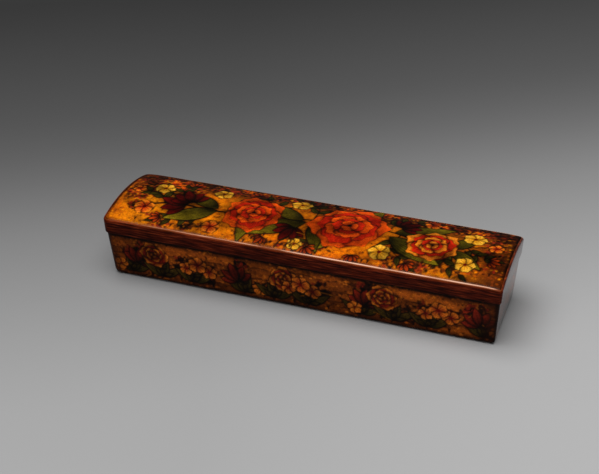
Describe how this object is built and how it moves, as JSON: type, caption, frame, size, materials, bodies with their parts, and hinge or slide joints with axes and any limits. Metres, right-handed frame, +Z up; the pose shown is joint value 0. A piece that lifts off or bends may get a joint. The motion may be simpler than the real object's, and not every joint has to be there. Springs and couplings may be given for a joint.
{
  "type": "pen box",
  "caption": "Long lacquered pen box with leaning sides and a lift-off vaulted lid, holding reed pens in notched rests and an ink pot with a hinged cover.",
  "frame": {"origin": "middle of the underside, on the surface that the box stands on", "axes": "+X along the box towards the ink bay, +Y towards the back, +Z up"},
  "size_m": [0.2666, 0.07, 0.0493],
  "materials": {
    "lacquer_amber": "gloss",
    "lacquer_dark": "gloss",
    "lacquer_rim": "gloss",
    "lining": "satin",
    "floor_paper": "matte",
    "brass": "satin",
    "reed": "satin"
  },
  "bodies": {
    "base": {"base_floor": "lacquer_dark", "base_front_wall": "lacquer_dark", "base_back_wall": "lacquer_dark", "base_left_end": "lacquer_dark", "base_right_end": "lacquer_dark", "front_lining": "lining", "back_lining": "lining", "left_lining": "lining", "right_lining": "lining", "floor_paper": "floor_paper", "partition": "lining", "left_pen_rest": "lining", "right_pen_rest": "lining", "ink_pot": "brass", "ink_hinge_pin": "brass"},
    "lid": {"lid_panel": "lacquer_amber", "lid_front_rim": "lacquer_rim", "lid_back_rim": "lacquer_rim", "lid_left_rim": "lacquer_rim", "lid_right_rim": "lacquer_rim"},
    "cover": {"ink_cover": "brass"},
    "front_pen": {"reed_pen_front": "reed"},
    "middle_pen": {"reed_pen_middle": "reed"},
    "back_pen": {"reed_pen_back": "reed"}
  },
  "joints": [
    {"name": "lid_lift", "type": "slide", "parent": "base", "child": "lid", "axis": [0, 0, 1], "range_m": [0, 0.08]},
    {"name": "cover_hinge", "type": "hinge", "parent": "base", "child": "cover", "pos_m": [0.09148, 0, 0.0235], "axis": [0, -1, 0], "range_deg": [0, 105]},
    {"name": "front_pen_lift", "type": "slide", "parent": "base", "child": "front_pen", "axis": [0, 0, 1], "range_m": [0, 0.024]},
    {"name": "middle_pen_lift", "type": "slide", "parent": "base", "child": "middle_pen", "axis": [0, 0, 1], "range_m": [0, 0.024]},
    {"name": "back_pen_lift", "type": "slide", "parent": "base", "child": "back_pen", "axis": [0, 0, 1], "range_m": [0, 0.024]}
  ]
}
